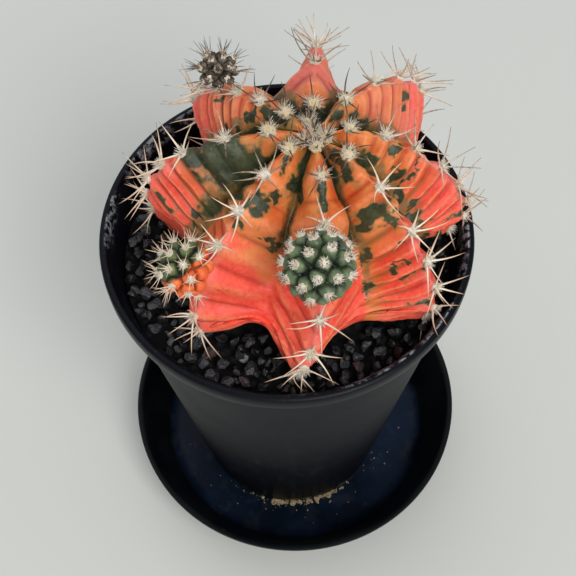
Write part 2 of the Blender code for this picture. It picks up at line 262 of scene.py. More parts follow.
def wall(height, inside=1.3):
    """Radius of the pot's tapered wall at a height, less its thickness, in millimetres."""
    return FOOT_RADIUS + (NECK_RADIUS - FOOT_RADIUS) * (height - foot) / (rim - NECK_DROP - foot) - inside


pot = turned(
    "pot_wall",
    [
        (8.0, foot + 3.0), (26.2, foot + 3.0), (26.5, foot + 2.7), (26.5, foot), (29.0, foot),
        (29.8, foot + 0.5), (wall(foot + 1.6, 0.0), foot + 1.6), (wall(foot + 2.6, 0.0), foot + 2.6),
        (wall(foot + 3.0, 0.25), foot + 3.0), (wall(foot + 3.4, 0.0), foot + 3.4),
        (wall(60.0, 0.0), 60.0), (wall(100.0, 0.0), 100.0), (wall(rim - 7.0, 0.0), rim - 7.0),
        (wall(rim - 5.8, 0.0), rim - 5.8), (48.4, rim - 5.3), (49.3, rim - 5.2), (49.75, rim - 4.9),
        (49.9, rim - 4.2), (50.0, rim - 1.0), (49.8, rim - 0.4), (49.3, rim - 0.05), (48.7, rim),
        (48.2, rim - 0.15), (47.9, rim - 0.6), (47.3, rim - 1.9), (wall(rim - 3.2), rim - 3.2),
        (wall(rim - 6.0), rim - 6.0), (wall(60.0), 60.0), (wall(foot + 6.0), foot + 6.0),
        (wall(foot + 4.6) - 0.8, foot + 4.4), (8.0, foot + 4.3), (8.0, foot + 3.0),
    ],
    pot_middle,
    176,
    hollow=True,
)  # fmt: skip
pot_finish = Finish("pot_black_plastic", Specular_IOR_Level=0.1)
here = pot_finish.place
height = here.part("Z")
out = ((here.part("X") - pot_middle[0]) ** 2.0 + (here.part("Y") - pot_middle[1]) ** 2.0) ** 0.5
# Painted shade meant for the pot's inside, laid within about 47 mm of the axis, which also takes in most of
# the outer wall below the band.
painted_shade_near_axis = 1.0 - out.edge(0.0466, 0.0476)
top = height.edge(rim * MM - 0.0045, rim * MM - 0.0008)
band = height.edge(rim * MM - 0.0057, rim * MM - 0.005)
cloud = here.grain(18.0, 4.0, 0.6)
scuffs = here.grain(1.2, 3.0, 0.7).edge(0.62, 0.72) * here.grain(14.0).edge(0.45, 0.6)
stain = here.node("ShaderNodeVectorMath", {"operation": "MULTIPLY"}, {0: here, 1: (1.0, 1.0, 0.25)})
runs = stain.grain(5.0, 4.0).edge(0.5, 0.75) * (1.0 - height.edge(0.03, 0.11))
right_side = (here.part("X") - here.part("Y") * 0.8).edge(0.034, 0.05)
left_side = (here.part("Y") * 0.7 - here.part("X")).edge(0.035, 0.06)
# Pale blue-white flecks, rougher and raised, along the inner edge of the rim at the front right and back
# left.
pale_rim_flecks = here.grain(2.0, 5.0, 0.7).edge(0.46, 0.58) * here.grain(11.0, 3.0).edge(0.4, 0.55)
pale_rim_flecks = pale_rim_flecks * top * (1.0 - out.edge(0.0482, 0.0489)) * right_side.most(left_side)
splash = here.grain(3.2, 5.0, 0.7).edge(0.46, 0.6) * (1.0 - height.edge(0.0035, 0.008))
splash = splash * here.grain(12.0).edge(0.4, 0.55) * (1.0 - here.part("Y").edge(-0.032, -0.02))
colour = cloud.mix(paint(23, 42, 34), paint(33, 54, 45))
colour = band.mix(colour, cloud.mix(paint(5, 6, 12), paint(11, 13, 21)))
# Painted shade: blue-black within about 47 mm of the axis, on the pot's inside and most of its outer wall.
colour = painted_shade_near_axis.mix(colour, cloud.mix(paint(6, 7, 11), paint(14, 17, 25)))
colour = (scuffs * 0.15 + runs * 0.04).mix(colour, paint(120, 126, 118))
colour = (pale_rim_flecks * 0.7).mix(colour, paint(176, 184, 192))
pot_finish.give("Base Color", (splash * 0.7).mix(colour, paint(140, 128, 98)))
pot_finish.give("Roughness", cloud * 0.2 + pale_rim_flecks * 0.3 + 0.4 - band * 0.14)
pot_finish.relief(here.grain(0.45, 3.0), 0.035)
pot_finish.relief(pale_rim_flecks + splash, 0.25)
dress(pot, pot_finish, "pot_plastic", "pot")

# ---- Soil mix -----------------------------------------------------------------------------------
# Peat, bark fines and grit, packed round the root under the gravel. Only the drain hole shows it.
soil_finish = Finish("soil_peat_and_grit", Specular_IOR_Level=0.2)
here = soil_finish.place
grit = here.cells(1.6).edge(0.15, 0.4)
colour = here.grain(3.0, 4.0).mix(paint(38, 27, 19), paint(74, 54, 38))
soil_finish.give("Base Color", (here.grain(1.4, 2.0).edge(0.66, 0.7) * 0.8).mix(colour, paint(190, 182, 165)))
soil_finish.give("Roughness", grit * 0.15 + 0.8)
soil_finish.relief(grit, 0.5)
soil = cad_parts["soil_mix"]
soil.data.materials.clear()
soil.data.materials.append(soil_finish.material)

# ---- Cactus body --------------------------------------------------------------------------------
# One plant with eight tall ribs round a sunken growing point, on its own root. Its waxy skin has
# little green left: coral on the crests, orange on the sides, olive and dark green in patches.
# Each side is pleated like an accordion, with one fold at each spine cushion and one between.
gravel_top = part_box("gravel_topping")[1][2] / MM
heart = np.array([pot_middle[0] / MM + 7.0, pot_middle[1] / MM + 6.0])
waist = rim - 2.0
DOME = 38.0
FOOT_ANGLE = 103.0
# azimuth, reach, squareness, foot tuck, swing, and the cushions' angles down from the top
RIBS = {
    "right": (2.0, 41.3, 1.75, 9.0, -9.0, (15, 28, 40, 53, 65, 75, 84, 94)),
    "back_right": (45.0, 43.6, 2.25, 18.0, -2.0, (13, 28, 45, 59, 71, 84, 95)),
    "back": (87.0, 44.6, 2.35, 20.0, -1.0, (7, 27, 45, 57, 69, 81, 92)),
    "back_left": (146.0, 41.3, 2.6, 6.0, -12.0, (7, 16, 27, 39, 53, 68, 84, 96)),
    "left": (185.0, 43.8, 2.5, 5.0, -11.0, (10, 24, 42, 55, 69, 81, 90, 98)),
    "front_left": (223.0, 46.2, 1.7, 4.0, 7.0, (13, 24, 37, 49, 62, 78, 91)),
    "front": (278.5, 47.6, 1.72, 3.0, -17.0, (9, 19, 33, 48, 61, 74, 84, 95)),
    "front_right": (317.5, 42.3, 1.88, 2.0, -2.0, (16, 31, 49, 62, 75, 90, 100)),
}
RIB_NAMES = list(RIBS)
# How much less deep the furrow after each rib is at its foot, and how much sharper each crest is,
# from the right rib round
WEB_RISE = [0.0, 0.0, 0.0, 0.0, 0.5, 3.2, 2.6, 0.5]
KEENNESS = [0.0, 0.2, 1.0, 0.0, 0.0, 0.0, 0.5, 0.0]


def soft(value):
    value = np.clip(value, 0.0, 1.0)
    return value * value * (3.0 - 2.0 * value)


def crest_line(rib, angle, humps=True):
    """(distance from the axis, height, outward normal's two parts, azimuth) of a rib's crest."""
    azimuth, reach, square, tuck, swing, cushions = rib

    def at(degrees):
        turn = np.radians(degrees)
        away = reach * np.abs(np.sin(turn)) ** (2.0 / square)
        away = away - tuck * np.clip((degrees - 72.0) / 30.0, 0.0, None) ** 2
        up = np.sign(np.cos(turn)) * np.abs(np.cos(turn)) ** (2.0 / square)
        return away, waist + DOME * up - 3.0 * np.exp(-((away / 5.0) ** 2))

    away, up = at(angle)
    before, after = at(angle - 0.4), at(angle + 0.4)
    along = np.array([after[0] - before[0], after[1] - before[1]])
    along = along / np.maximum(np.hypot(*along), 1e-9)
    normal = (-along[1], along[0])
    lift = np.zeros_like(away)
    if humps:
        for cushion in cushions:
            lift = np.maximum(lift, np.exp(-(((angle - cushion) / 3.6) ** 2)))
        lift = (1.15 * lift - 0.45) * soft(angle / 12.0)
    turn = np.radians(azimuth + swing * (np.clip(angle, 0.0, None) / 102.0) ** 1.5)
    return away + normal[0] * lift, up + normal[1] * lift, normal[0], normal[1], turn


def body_skin(angle, lap):
    """Points of the skin without its folds, from the angle down from the top and the lap round.

    A lap of 0 to 8 goes once round the ribs, a whole number being a crest. Also gives how far
    across the side each point lies, 0 on the crest and 1 in the furrow, and the nearest rib.
    """
    whole = np.floor(lap).astype(int) % 8
    share = lap - np.floor(lap)
    lines = [crest_line(rib, angle) for rib in RIBS.values()]
    stack = [np.stack([np.broadcast_to(line[k], angle.shape) for line in lines]) for k in range(5)]
    column = np.arange(angle.size).reshape(angle.shape)
    flat = [part.reshape(8, -1) for part in stack]
    first = [part[whole.ravel(), column.ravel()].reshape(angle.shape) for part in flat]
    second = [part[(whole.ravel() + 1) % 8, column.ravel()].reshape(angle.shape) for part in flat]
    steep = np.abs(np.sin(np.radians(angle)))
    shallow = np.array(WEB_RISE)[whole] * soft((angle - 55.0) / 40.0)
    depth = 13.0 * steep**0.42 * soft(angle / 6.0) * (1.0 - 0.1 * soft((angle - 75.0) / 25.0)) - shallow
    furrow_away = 0.5 * (first[0] + second[0] - depth * (first[2] + second[2]))
    furrow_up = 0.5 * (first[1] + second[1] - depth * (first[3] + second[3]))
    across = 2.0 * np.minimum(share, 1.0 - share)
    eased = (np.sqrt(across**2 + 0.0025) - 0.05) / (math.sqrt(1.0025) - 0.05)
    keen = np.array(KEENNESS)[np.where(share <= 0.5, whole, (whole + 1) % 8)]
    sharp = (1.0 - eased) ** (1.5 + (0.35 + keen) * soft((angle - 60.0 + 40.0 * (keen > 0.9)) / 30.0))
    rolled = 1.0 - eased**1.7
    form = soft((angle - 16.0 + 8.0 * keen) / 44.0)
    blend = rolled + (sharp - rolled) * form
    near_away = np.where(share <= 0.5, first[0], second[0])
    near_up = np.where(share <= 0.5, first[1], second[1])
    away = furrow_away + (near_away - furrow_away) * blend
    up = furrow_up + (near_up - furrow_up) * blend
    end = np.where(second[4] < first[4], second[4] + 2.0 * math.pi, second[4])
    turn = first[4] + (end - first[4]) * share
    points = np.stack([heart[0] + away * np.cos(turn), heart[1] + away * np.sin(turn), up], axis=-1)
    nearest = np.where(share <= 0.5, whole, (whole + 1) % 8)
    side = np.where(share <= 0.5, 1.0, -1.0)
    return points, across, nearest, side


def folds(angle, across, nearest, side):
    """Height of the accordion folds, 1 on a fold and 0 in the crease between two, and their count."""
    slant = np.full_like(angle, -4.0)
    at_front = nearest == RIB_NAMES.index("front")
    slant = np.where(at_front & (side < 0), 20.0, slant) * soft((angle - 35.0) / 25.0)
    slant = np.where(at_front & (side > 0), 12.0 * soft((angle - 35.0) / 25.0), slant)
    count = np.zeros_like(angle)
    for index, rib in enumerate(RIBS.values()):
        cushions = np.array(rib[5], float)
        steps = np.arange(len(cushions), dtype=float)
        before = np.concatenate([[cushions[0] - 12.0], cushions, [cushions[-1] + 22.0]])
        numbers = np.concatenate([[-1.0], steps, [len(cushions) + 1.0]])
        count = np.where(nearest == index, np.interp(angle + slant * across, before, numbers), count)
    broad_face = at_front | ((nearest == RIB_NAMES.index("front_left")) & (side > 0))
    phase = np.where(broad_face, 1.0, 2.0) * count
    fold = 1.0 - 2.0 * np.abs(phase - np.round(phase))
    return np.where(broad_face, fold**0.55, fold**0.85), count + 10.0 * nearest


ROWS = 236
COLUMNS = 384
SHOWN_ROWS = ROWS - 8
bpy.ops.object.select_all(action="DESELECT")
bpy.ops.mesh.primitive_uv_sphere_add(segments=COLUMNS, ring_count=ROWS, radius=1.0)
body = bpy.context.object
body.name = "cactus_skin_ribbed"
start = np.zeros(len(body.data.vertices) * 3)
body.data.vertices.foreach_get("co", start)
start = start.reshape(-1, 3)
row = np.rint(np.arccos(np.clip(start[:, 2], -1.0, 1.0)) / math.pi * ROWS).astype(int)
lap = np.arctan2(start[:, 1], start[:, 0]) / (2.0 * math.pi) * 8.0 % 8.0
lap = np.where(lap > 7.9999, 0.0, lap)
share = lap - np.floor(lap)
lap = np.floor(lap) + share - 0.075 * np.sin(2.0 * math.pi * share)
angle = np.clip(row / SHOWN_ROWS, 0.0, 1.0) * (FOOT_ANGLE - 0.8) + 0.8
points, across, nearest, side = body_skin(angle, lap)

# The folds and the flesh's own unevenness push the skin out along its normal.
step = 0.02
down_points = body_skin(angle + 0.4, lap)[0]
round_points = body_skin(angle, (lap + step) % 8.0)[0]
normal = np.cross(down_points - points, round_points - points)
normal /= np.maximum(np.linalg.norm(normal, axis=1, keepdims=True), 1e-9)
fold, fold_count = folds(angle, across, nearest, side)
wave = np.array([noise.noise(Vector(p) * 0.11) for p in points])
ripple = np.array([noise.noise(Vector(p) * 0.45 + Vector((7.0, 3.0, 1.0))) for p in points])
smooth_face = (nearest == RIB_NAMES.index("front")) | (
    (nearest == RIB_NAMES.index("front_left")) & (side > 0)
)
fold_depth = (0.35 + 1.6 * soft((angle - 12.0) / 32.0)) * (0.9 + 0.6 * wave)
fold_depth *= np.where(smooth_face, 0.75, 1.0)
reach_down = 0.3 + 0.7 * soft(across / 0.12)
reach_down *= 1.0 - 0.85 * soft((across - 0.5) / 0.5)
push = fold_depth * reach_down * (fold - 0.5) * soft((angle - 10.0) / 10.0)
push += 0.7 * wave * soft(across * 3.0) + 0.16 * ripple
points = points + normal * push[:, None]

# Under the gravel the ribs draw in to a short neck and the taproot.
under = [(0.8, 0.0, -0.6), (0.5, 0.0, -1.4), (0.0, 11.0, -2.4), (0.0, 10.5, -10.4), (0.0, 8.0, -15.0),
         (0.0, 5.5, -24.0), (0.0, 3.5, -33.0)]  # fmt: skip
for index, (outline, radius, height) in enumerate(under):
    ring = row == SHOWN_ROWS + 1 + index
    flat = points[ring][:, :2] - heart
    unit = flat / np.linalg.norm(flat, axis=1, keepdims=True)
    points[ring, :2] = heart + flat * outline + unit * radius
    points[ring, 2] = gravel_top + height
top = row == 0
points[top] = (heart[0], heart[1], points[row == 1][:, 2].mean() - 0.2)
points[row == ROWS] = (heart[0], heart[1], gravel_top - 44.0)
body.data.vertices.foreach_set("co", (points * MM).ravel())
body.data.update()
bpy.ops.object.shade_smooth()

# Dark green patches by rib and side (1 is anticlockwise): angle, across, and their two half sizes.
# The field is 1 in the middle of a patch, 0 at its edge and less outside. The patches at 5 degrees
# on the back and back right ribs are painted shade in the hollow of the crown.
GREEN_AND_SHADE_PATCHES = {
    ("left", 1): [
        (28, 0.45, 15, 0.62), (18, 0.9, 10, 0.4), (40, 0.1, 7, 0.25), (50, 0.85, 8, 0.2),
        (60, 0.7, 4, 0.14), (68, 0.78, 4, 0.12), (71, 0.25, 2, 0.14),
    ],
    ("left", -1): [(30, 0.3, 13, 0.5)],
    ("front_left", -1): [(28, 0.75, 14, 0.45)],
    ("front_left", 1): [
        (32, 0.3, 3.5, 0.16), (31, 0.1, 4, 0.12), (27, 0.52, 3, 0.14), (41, 0.65, 1.6, 0.28),
        (42, 0.97, 4, 0.12), (39, 0.1, 1.8, 0.09), (17, 0.3, 3, 0.2), (22, 0.85, 6, 0.22),
    ],
    ("front", 1): [(25, 0.0, 7, 0.17), (22, 0.9, 8, 0.2), (38, 0.95, 7, 0.14)],
    ("front", -1): [(22, 0.85, 6, 0.2), (32, 0.95, 7, 0.12)],
    ("front_right", -1): [
        (20, 0.5, 5.5, 0.32), (11, 0.5, 5, 0.4), (37, 0.52, 4.2, 0.5), (41, 0.15, 3.5, 0.14),
        (51, 0.2, 1.3, 0.1), (60, 0.4, 1.1, 0.2), (67, 0.2, 2.2, 0.16), (84, 0.15, 2.0, 0.12),
        (92, 0.3, 2.0, 0.14), (52, 0.9, 6, 0.14), (66, 0.9, 6, 0.12),
    ],
    ("front_right", 1): [(37, 0.2, 4, 0.2), (22, 0.4, 5, 0.3), (55, 0.7, 14, 0.25)],
    ("right", -1): [
        (33, 0.15, 2.4, 0.2), (25, 0.75, 7, 0.3), (38, 0.65, 1.6, 0.3), (47, 0.72, 1.6, 0.3),
        (45, 0.3, 1.0, 0.2), (56, 0.5, 1.1, 0.3), (62, 0.85, 5, 0.2), (70, 0.65, 2.4, 0.18),
        (78, 0.1, 2.0, 0.18), (92, 0.78, 5, 0.14), (94, 0.22, 2.0, 0.14),
    ],
    ("right", 1): [(71, 0.05, 1.8, 0.12), (26, 0.5, 7, 0.4), (58, 0.7, 12, 0.3)],
    ("back_right", -1): [(51, 0.25, 2.2, 0.14), (9, 0.3, 5, 0.35), (18, 0.85, 8, 0.3)],
    # Painted shade in the crown's hollow: the patch at 5 degrees on the back right rib.
    ("back_right", 1): [(40, 0.6, 12, 0.4), (5, 0.7, 4, 0.5)],
    ("back_left", 1): [
        (10, 0.3, 5, 0.4), (26, 0.92, 4, 0.14), (37, 0.1, 1.6, 0.08), (18, 0.5, 2.0, 0.35),
        (31, 0.75, 1.4, 0.16),
    ],
    ("back_left", -1): [(45, 0.6, 12, 0.4)],
    # Painted shade in the crown's hollow: the patches at 5 degrees on the back rib.
    ("back", 1): [(60, 0.8, 10, 0.2), (5, 0.6, 4, 0.6)],
    ("back", -1): [(5, 0.6, 4, 0.6)],
}  # fmt: skip
# noise_vector starts from the clock unless it is seeded.
noise.seed_set(4)
warp = np.array(
    [noise.noise_vector(Vector(p) * 0.28) + noise.noise_vector(Vector(p) * 0.8) * 0.5 for p in points]
)
warp_angle, warp_across = angle + 4.5 * warp[:, 0], across + 0.2 * warp[:, 1]
# The field starts high in the furrows near the crown: painted shade there, in dark green.
green_and_shade_field = -0.5 + (0.5 + 2.4 * np.clip(across - 0.68, -0.2, 1.0)) * (1.0 - soft((angle - 15.0) / 16.0))
for (rib, patch_side), patches in GREEN_AND_SHADE_PATCHES.items():
    on_rib = nearest == RIB_NAMES.index(rib)
    for patch_angle, patch_across, tall, wide in patches:
        gap_across = np.where(side == patch_side, warp_across - patch_across, warp_across + patch_across)
        reach = np.hypot((warp_angle - patch_angle) / tall, gap_across / wide)
        green_and_shade_field = np.where(on_rib, np.maximum(green_and_shade_field, 1.0 - reach), green_and_shade_field)
coral_field = soft((angle - 30.0) / 34.0) * (1.0 - 0.6 * soft((across - 0.35) / 0.5))
coral_field += np.where(smooth_face, soft((angle - 50.0) / 16.0) * (0.25 + 0.6 * across), 0.0)


def by_rib(shares, usual):
    """One share per point, from those of the ribs that are named and the usual one."""
    return np.array([shares.get(name, usual) for name in RIB_NAMES])[nearest]


olive_field = soft((warp_across - 0.42) / 0.5)
olive_field *= by_rib({"front": 0.25, "front_left": 0.35, "front_right": 0.65}, 1.0)
olive_field *= 1.0 - 0.9 * np.where(smooth_face, soft((angle - 38.0) / 12.0), 0.0)
olive_field *= 1.0 - 0.9 * soft((angle - 70.0) / 12.0) * (nearest == RIB_NAMES.index("front_right"))
crease_olive = soft((angle - 25.0) / 20.0) * soft((across - 0.12) / 0.4)
crease_olive *= by_rib({"front": 0.1, "front_left": 0.3}, 1.0)
# Painted shade in the furrows near the crown.
crown_valley_shade_field = soft((across + 0.12 * warp[:, 2] - 0.66) / 0.3) * (1.0 - soft((angle - 36.0) / 18.0))
pink_field = by_rib({"back": 1.0, "back_left": 0.5, "back_right": 0.55, "left": 0.25}, 0.1)
pink_field *= soft((angle - 8.0) / 18.0)
crown = 1.0 - soft((angle - 6.0) / 9.0)


def mark(piece, name, values):
    """Paints one value per point on a piece, for its finish to read."""
    layer = piece.data.attributes.new(name, "FLOAT", "POINT")
    layer.data.foreach_set("value", np.asarray(values, dtype=np.float32))


fold_strength = np.clip(fold_depth * reach_down, 0.0, 1.2)
for name, values in {
    "across": across, "down": angle / 100.0, "fold": fold, "fold_depth": fold_strength,
    "green": green_and_shade_field, "coral": coral_field, "olive": olive_field, "pink": pink_field,
    "crown": crown, "olive_crease": crease_olive, "valley": crown_valley_shade_field,
}.items():  # fmt: skip
    mark(body, name, values)

grain_line = body.data.attributes.new("grain_line", "FLOAT_VECTOR", "POINT")
bearing = np.arctan2(points[:, 1] - heart[1], points[:, 0] - heart[0])
lines = [np.cos(bearing) * 8.0, np.sin(bearing) * 8.0, 2.0 * fold_count + angle * 0.1]
grain_line.data.foreach_set("vector", (np.stack(lines, axis=-1) * MM).astype(np.float32).ravel())

skin_finish = Finish(
    "cactus_skin_variegated",
    Specular_IOR_Level=0.32,
    Subsurface_Weight=0.1,
    Subsurface_Radius=(1.0, 0.35, 0.2),
    Subsurface_Scale=0.0015,
    Coat_Roughness=0.35,
)
here = skin_finish.place
across_mark, fold_mark = skin_finish.mark("across"), skin_finish.mark("fold")
depth_mark = skin_finish.mark("fold_depth")
streaks = here.node("ShaderNodeAttribute", {"attribute_name": "grain_line"}, out=1)
broad = here.grain(16.0, 3.0)
mottle = here.grain(4.2, 5.0, 0.62)
fleck = here.grain(1.1, 4.0, 0.65)
streak = streaks.grain(1.6, 4.0, 0.6)
down_mark = skin_finish.mark("down")
flesh = (broad * 0.5 + streak * 0.6).edge(0.38, 0.72).mix(paint(206, 88, 38), paint(232, 152, 84))
coral = (fleck * 0.5 + streak * 0.5).edge(0.3, 0.7).mix(paint(230, 60, 50), paint(246, 106, 80))
red = (skin_finish.mark("coral") + (streak - 0.5) * 2.4 + (mottle - 0.5) * 0.5).edge(0.1, 0.9)
colour = red.mix(flesh, coral)
rose = (skin_finish.mark("pink") + (mottle - 0.5) * 0.6).edge(0.1, 1.0)
colour = (rose * 0.85).mix(colour, fleck.mix(paint(196, 84, 84), paint(222, 124, 112)))
# The creases between the folds are darkened: a deep red there is painted shade, and where the olive crease
# mark is high an olive that is the skin's own streaking.
crease = (1.0 - fold_mark).edge(0.5, 1.0) * depth_mark.edge(0.1, 0.9)
warm_crease = (skin_finish.mark("olive_crease") + (mottle - 0.5) * 0.8).edge(0.3, 0.6)
colour = (crease * 0.7).mix(colour, warm_crease.mix(paint(160, 38, 24), paint(112, 84, 40)))
# Painted highlight: the ridges of the folds are painted paler.
ridge_highlight = fold_mark.edge(0.7, 1.0) * depth_mark.edge(0.1, 0.8)
colour = (ridge_highlight * 0.55 * fleck.edge(0.25, 0.55)).mix(colour, paint(246, 150, 104))
pink = (1.0 - across_mark.edge(0.02, 0.16)) * down_mark.edge(0.25, 0.55)
colour = (pink * 0.4).mix(colour, paint(230, 132, 122))
olive = skin_finish.mark("olive") * 0.7 + (mottle - 0.5) * 0.9 + (streak - 0.5) * 0.9 + fleck * 0.2
olive = olive.edge(0.35, 0.62)
colour = (olive * 0.85).mix(colour, fleck.mix(paint(98, 76, 44), paint(150, 122, 78)))
crown_olive = skin_finish.mark("crown") * mottle.edge(0.4, 0.6)
colour = (crown_olive * 0.85).mix(colour, paint(140, 120, 62))
# Painted shade: the furrows near the crown are painted dark olive.
crown_valley_painted_shade = (skin_finish.mark("valley") + (mottle - 0.5) * 0.5).edge(0.2, 0.9)
colour = (crown_valley_painted_shade * 0.8).mix(colour, fleck.mix(paint(38, 34, 18), paint(70, 66, 38)))
rough_edge = skin_finish.mark("green") + (mottle - 0.5) * 0.75 + (fleck - 0.5) * 0.45 + (streak - 0.5) * 0.9
halo = rough_edge.edge(-0.35, 0.1)
green = rough_edge.edge(0.0, 0.32)
colour = (halo * 0.6).mix(colour, paint(150, 116, 62))
deep = (broad * 0.6 + fleck * 0.5 + streak * 0.5 - 0.25).edge(0.3, 0.8)
# Dark green patches, and painted shade in the furrows and hollow of the crown.
colour = green.mix(colour, deep.mix(paint(26, 32, 22), paint(76, 82, 52)))
specks = fleck.edge(0.68, 0.74) * here.grain(9.0).edge(0.45, 0.6)
colour = (specks * 0.5).mix(colour, paint(92, 48, 30))
scurf = here.grain(0.8, 3.0).edge(0.6, 0.72) * (1.0 - across_mark.edge(0.03, 0.14))
skin_finish.give("Base Color", (scurf * 0.35).mix(colour, paint(232, 214, 198)))
skin_finish.give("Roughness", fleck * 0.16 + scurf * 0.2 + 0.36)
skin_finish.relief(here.grain(0.35, 3.0), 0.03)
skin_finish.relief(mottle, 0.25)
dress(body, skin_finish, "cactus_skin", "cactus_body")

# ---- Gravel topping -----------------------------------------------------------------------------
# Angular black chippings of 2 to 5 mm over the soil, with a few grey and rusty ones. A dark packed
# layer lies below, and the top stones rest loose on it, up against the cactus and the pot's wall.
bed_top = gravel_top - 2.6
bed_rings = [(2.0, bed_top - 9.6), (wall(bed_top - 9.6) - 0.4, bed_top - 9.6), (wall(bed_top) - 0.4, bed_top)]
bed_rings += [(radius, bed_top) for radius in np.linspace(44.0, 2.0, 30)]
bed = turned("gravel_packed_layer", bed_rings, pot_middle, 120)
for vertex in bed.data.vertices:
    if vertex.co.z > (bed_top - 0.5) * MM:
        vertex.co.z += 0.9 * MM * noise.noise(vertex.co * 420.0)

stone_shapes = []
chooser = random.Random(11)
for number in range(12):
    bpy.ops.object.select_all(action="DESELECT")
    bpy.ops.mesh.primitive_ico_sphere_add(subdivisions=2, radius=1.0)
    blank = bpy.context.object
    bpy.ops.object.mode_set(mode="EDIT")
    bpy.ops.mesh.select_all(action="SELECT")
    bpy.ops.transform.resize(value=(1.0, chooser.uniform(0.68, 0.9), chooser.uniform(0.5, 0.72)))
    for _ in range(9):
        facing = Vector([chooser.gauss(0.0, 1.0) for _ in range(3)]).normalized()
        facing.z *= 0.8
        size = Vector((facing.x, facing.y * 0.8, facing.z * 0.6)).length
        bpy.ops.mesh.select_all(action="SELECT")
        cut = facing * size * chooser.uniform(0.55, 0.8)
        bpy.ops.mesh.bisect(plane_co=cut, plane_no=facing, clear_outer=True, use_fill=True)
    bpy.ops.mesh.select_all(action="SELECT")
    bpy.ops.mesh.dissolve_limited(angle_limit=math.radians(16))
    bpy.ops.object.mode_set(mode="OBJECT")
    corners = np.array([tuple(v.co) for v in blank.data.vertices])
    stone_shapes.append((corners, [tuple(p.vertices) for p in blank.data.polygons]))
    bpy.data.objects.remove(blank)


def stones(name, placed):
    """One mesh of chippings; each is (x, y, z, size, tone, rust) in millimetres."""
    every_corner, faces, tones, rusts = [], [], [], []
    base = 0
    for x, y, z, size, tone, rust in placed:
        corners, shape_faces = chooser.choice(stone_shapes)
        turn = Matrix.Rotation(chooser.uniform(0.0, 6.3), 3, "Z") @ Matrix.Rotation(
            chooser.gauss(0.0, 0.35), 3, "X"
        )
        turn = turn @ Matrix.Rotation(chooser.choice((0.0, 0.0, 1.57)), 3, "Y")
        every_corner.append(corners @ np.array(turn).T * size * 0.5 + (x, y, z))
        faces += [tuple(base + index for index in face) for face in shape_faces]
        base += len(corners)
        tones += [tone] * len(corners)
        rusts += [rust] * len(corners)
    mesh = bpy.data.meshes.new(name)
    mesh.from_pydata((np.concatenate(every_corner) * MM).tolist(), [], faces)
    mesh.update()
    piece = bpy.data.objects.new(name, mesh)
    bpy.context.scene.collection.objects.link(piece)
    mark(piece, "tone", tones)
    mark(piece, "rust", rusts)
    return piece


foot_turns = np.linspace(0.0, 8.0, 160, endpoint=False)
foot_points = body_skin(np.full(160, 99.0), foot_turns)[0][:, :2] - heart
foot_bearing = np.arctan2(foot_points[:, 1], foot_points[:, 0])
foot_reach = np.hypot(foot_points[:, 0], foot_points[:, 1])
order = np.argsort(foot_bearing)
foot_bearing, foot_reach = foot_bearing[order], foot_reach[order]
placed = []
middle = np.array(pot_middle) / MM
for layer, (tries, height, crowd) in enumerate(((5200, -1.4, 0.78), (4200, 0.1, 0.86))):
    laid = []
    for _ in range(tries):
        size = min(5.8, max(2.4, chooser.gauss(4.1, 0.9)))
        radius = (wall(gravel_top) - 0.5 - 0.42 * size) * math.sqrt(chooser.random())
        bearing = chooser.uniform(-math.pi, math.pi)
        x, y = middle[0] + radius * math.cos(bearing), middle[1] + radius * math.sin(bearing)
        from_heart = math.hypot(x - heart[0], y - heart[1])
        from_middle = math.atan2(y - heart[1], x - heart[0])
        body_edge = np.interp(from_middle, foot_bearing, foot_reach, period=2.0 * math.pi)
        if from_heart < body_edge + (0.25 * size if layer else -1.0):
            continue
        if any((x - a) ** 2 + (y - b) ** 2 < (crowd * 0.5 * (size + s)) ** 2 for a, b, s in laid):
            continue
        laid.append((x, y, size))
        tone = chooser.random() ** 3.0
        if chooser.random() < 0.012:
            tone = 1.6
        z = gravel_top + height + chooser.uniform(-0.4, 0.4)
        placed.append((x, y, z, size, tone, 1.0 if chooser.random() < 0.05 else 0.0))
chippings = stones("gravel_chippings", placed)

gravel_finish = Finish("gravel_black_chippings", Specular_IOR_Level=0.75)
here = gravel_finish.place
tone, rust = gravel_finish.mark("tone"), gravel_finish.mark("rust")
grit = here.grain(0.6, 4.0, 0.7)
pits = here.grain(1.6, 4.0, 0.65)
colour = tone.edge(0.0, 1.0).mix(paint(13, 14, 18), paint(60, 62, 68))
colour = tone.edge(1.1, 1.5).mix(colour, paint(112, 120, 114))
colour = (rust * 0.6).mix(colour, paint(62, 40, 34))
colour = (grit.edge(0.56, 0.72) * 0.4).mix(colour, paint(118, 120, 124))
# Painted shade: the dents of the pitted bump are painted darker.
gravel_finish.give("Base Color", (pits.edge(0.5, 0.3) * 0.5).mix(colour, paint(8, 8, 9)))
gravel_finish.give("Roughness", grit * 0.4 + 0.16)
gravel_finish.relief(pits, 0.7)
gravel_finish.relief(grit, 0.22)
bed_finish = Finish("gravel_packed_dark", Specular_IOR_Level=0.2)
lumps = bed_finish.place.cells(2.6)
# Painted shade: the gaps between the packed lumps, low in the bump, are painted near black.
bed_finish.give("Base Color", lumps.edge(0.1, 0.5).mix(paint(24, 24, 26), paint(6, 6, 7)))
bed_finish.give("Roughness", lumps * 0.1 + 0.85)
bed_finish.relief(1.0 - lumps, 1.2)
dress(bed, bed_finish, "black_gravel", "gravel_topping")
dress(chippings, gravel_finish, "black_gravel", "gravel_topping")

# ---- Spine cushions -----------------------------------------------------------------------------
# On each hump of a crest sits an areole: a pad of cream felt from which curved spines fan out. The
# spines are stiff, tan at the foot and brown at the tip; the youngest by the growing point are dark.


